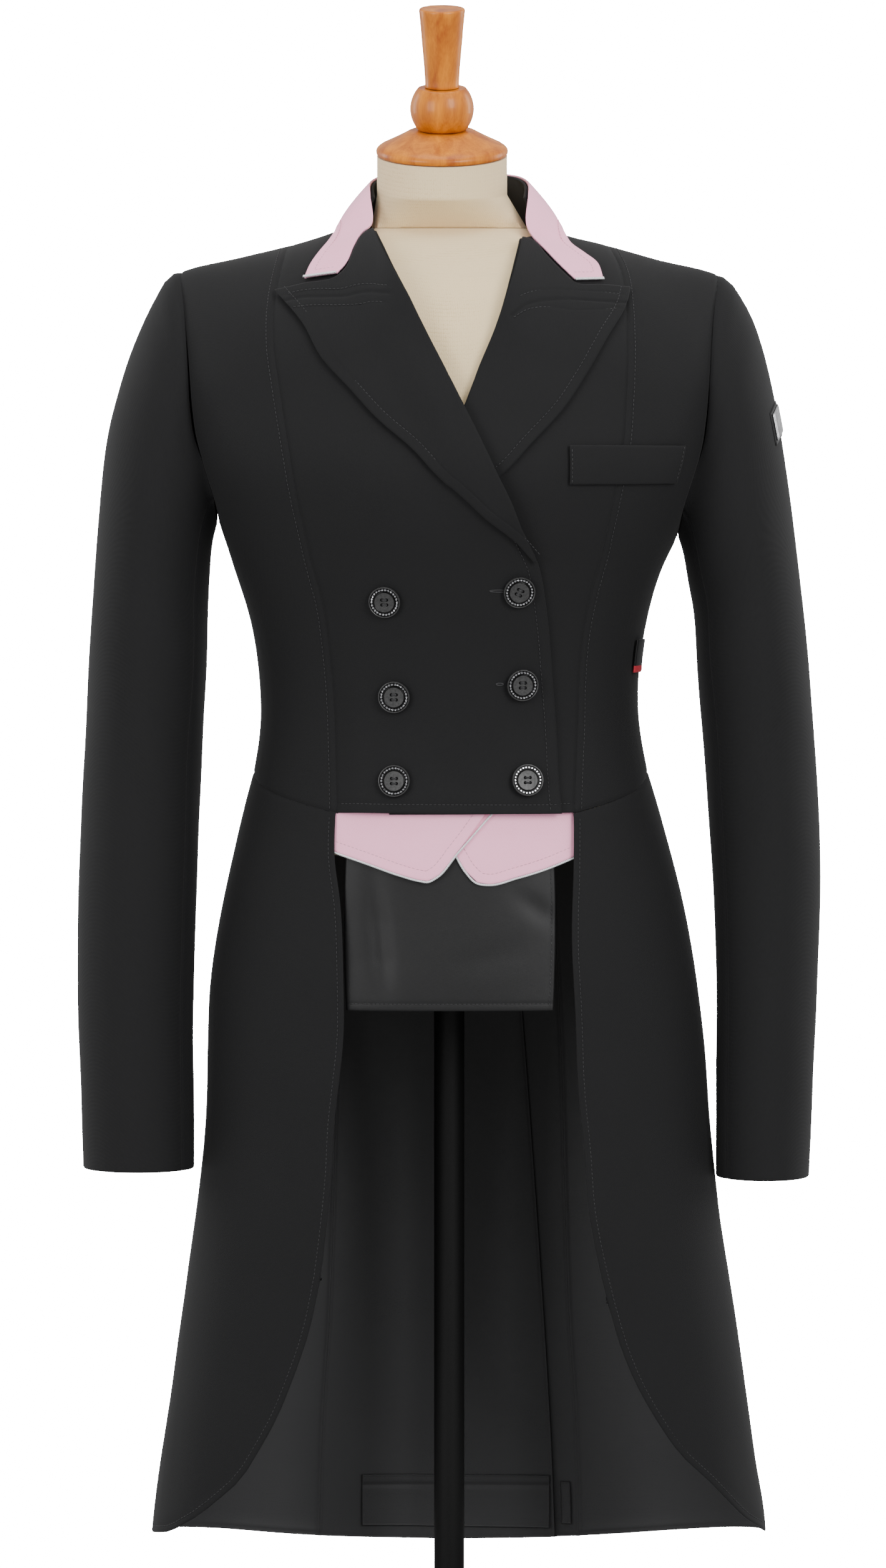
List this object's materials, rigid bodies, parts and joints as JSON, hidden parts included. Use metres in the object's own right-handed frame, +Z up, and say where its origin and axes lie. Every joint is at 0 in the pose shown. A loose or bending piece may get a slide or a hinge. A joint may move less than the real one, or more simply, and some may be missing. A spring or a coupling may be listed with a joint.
{
  "type": "tailcoat on dress form",
  "caption": "Fitted double-breasted dressage tailcoat with a pink collar and waistcoat points, worn on a limbless dress form with a turned wood finial, on a pole with a round base.",
  "frame": {"origin": "centre of the stand base's underside, on the floor", "axes": "+Z up; the coat's front faces -Y; +X towards the wearer's left"},
  "size_m": [0.5378, 0.36, 1.1867],
  "materials": {
    "wool": "fine matt wool",
    "pink_satin": "soft satin",
    "black_satin": "satin",
    "jersey": "knitted jersey",
    "silver_cord": "twisted metallic thread",
    "gunmetal": "satin",
    "wood": "satin varnish",
    "badge": "polished",
    "steel": "satin"
  },
  "bodies": {
    "root": {"front_right": "wool", "front_left": "wool", "side_front_right": "wool", "side_front_left": "wool", "side_back_right": "wool", "side_back_left": "wool", "back_right": "wool", "back_left": "wool", "skirt_right": "wool", "skirt_left": "wool", "top_sleeve_right": "wool", "top_sleeve_left": "wool", "under_sleeve_right": "wool", "under_sleeve_left": "wool", "lapel_right": "wool", "lapel_left": "wool", "collar_stand": "wool", "breast_welt": "wool", "collar_fall": "pink_satin", "vest_point_right": "pink_satin", "vest_point_left": "pink_satin", "vest_piping_right": "silver_cord", "vest_piping_left": "silver_cord", "collar_piping_right": "silver_cord", "collar_piping_left": "silver_cord", "satin_flap": "black_satin", "side_tab": "black_satin", "sleeve_backing": "black_satin", "tail_pocket_right": "black_satin", "tail_pocket_left": "black_satin", "sleeve_plate": "badge", "button_top_right": "gunmetal", "button_top_left": "gunmetal", "button_middle_right": "gunmetal", "button_middle_left": "gunmetal", "button_waist_right": "gunmetal", "button_waist_left": "gunmetal", "form_torso": "jersey", "form_neck": "jersey", "form_cap": "wood", "form_ball": "wood", "form_post": "wood", "stand_pole": "steel", "stand_base": "steel"}
  },
  "joints": []
}
